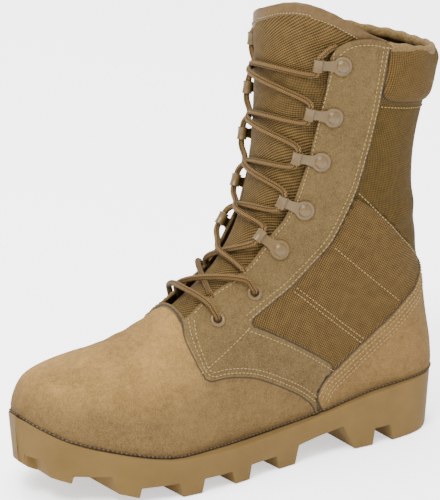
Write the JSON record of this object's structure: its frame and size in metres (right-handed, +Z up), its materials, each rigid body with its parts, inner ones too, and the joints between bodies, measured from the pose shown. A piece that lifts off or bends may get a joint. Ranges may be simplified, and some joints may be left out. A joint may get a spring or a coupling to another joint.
{
  "type": "jungle boot",
  "caption": "Left high-laced jungle boot: suede vamp, facings and counter, nylon shaft, padded cuff, tongue, hook lacing and a lugged rubber sole",
  "frame": {"origin": "on the floor under the middle of the boot's bounding box, the plane the heel and forefoot lugs stand on", "axes": "toe towards -X, heel towards +X, outer side of the foot towards -Y, inner side towards +Y, +Z up"},
  "size_m": [0.312, 0.1095, 0.3043],
  "materials": {
    "tan_rubber": "satin",
    "coyote_nylon": "matte",
    "tan_suede": "matte",
    "tongue_nylon": "matte",
    "painted_metal": "gloss",
    "lace_braid": "matte",
    "insole_board": "matte"
  },
  "bodies": {
    "root": {"counter": "tan_suede", "cuff": "coyote_nylon", "eyelet_inner_1": "painted_metal", "eyelet_inner_2": "painted_metal", "eyelet_outer_1": "painted_metal", "eyelet_outer_2": "painted_metal", "facing_inner": "tan_suede", "facing_outer": "tan_suede", "hook_inner_1": "painted_metal", "hook_inner_2": "painted_metal", "hook_inner_3": "painted_metal", "hook_inner_4": "painted_metal", "hook_inner_5": "painted_metal", "hook_outer_1": "painted_metal", "hook_outer_2": "painted_metal", "hook_outer_3": "painted_metal", "hook_outer_4": "painted_metal", "hook_outer_5": "painted_metal", "insole": "insole_board", "lace_1": "lace_braid", "lace_10": "lace_braid", "lace_11": "lace_braid", "lace_12": "lace_braid", "lace_2": "lace_braid", "lace_3": "lace_braid", "lace_4": "lace_braid", "lace_5": "lace_braid", "lace_6": "lace_braid", "lace_7": "lace_braid", "lace_8": "lace_braid", "lace_9": "lace_braid", "outsole": "tan_rubber", "tongue": "tongue_nylon", "upper": "coyote_nylon"}
  },
  "joints": []
}
